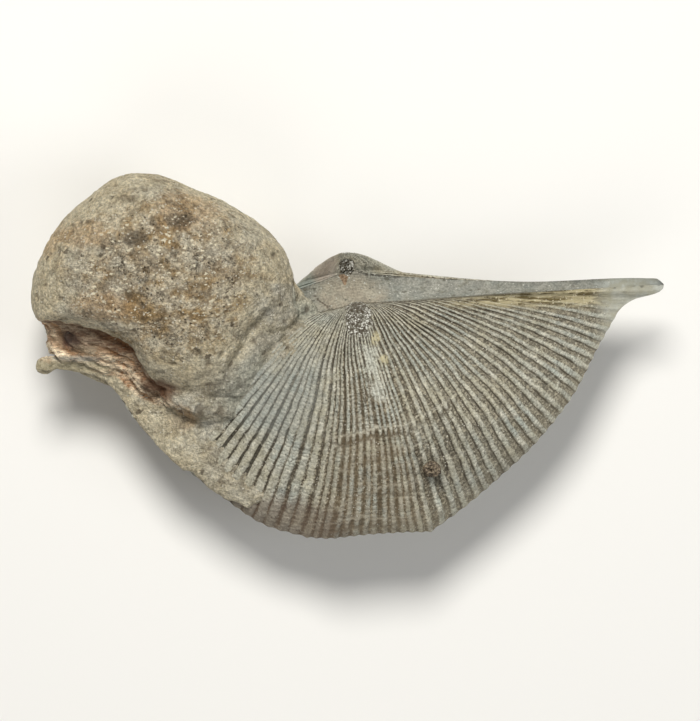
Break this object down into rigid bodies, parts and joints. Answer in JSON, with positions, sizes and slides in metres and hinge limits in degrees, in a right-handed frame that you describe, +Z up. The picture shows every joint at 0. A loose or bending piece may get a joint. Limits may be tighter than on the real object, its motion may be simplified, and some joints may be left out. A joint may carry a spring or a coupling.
{
  "type": "brachiopod fossil",
  "caption": "Winged fossil lamp shell with fine radiating ribs, lying on its lower valve, with a lump of its rock round one wing.",
  "frame": {"origin": "under the middle of the whole object, on the surface that it rests on", "axes": "+X towards the free right wing, +Y behind the hinge line, on the beak's side, +Z up, out of the upper valve"},
  "size_m": [0.0884, 0.051, 0.0247],
  "materials": {
    "lower_valve": "fossil calcite, dull, with pale crests and olive-brown grooves",
    "upper_valve": "fossil calcite, grey-buff crests, olive-brown grooves, slight gloss on worn places",
    "matrix": "grainy buff-grey limestone with shell specks and rust stains",
    "tube": "dark calcite"
  },
  "bodies": {
    "root": {"pedicle_valve": "lower_valve", "brachial_valve": "upper_valve", "matrix_lump": "matrix", "worm_tube": "tube"}
  },
  "joints": []
}
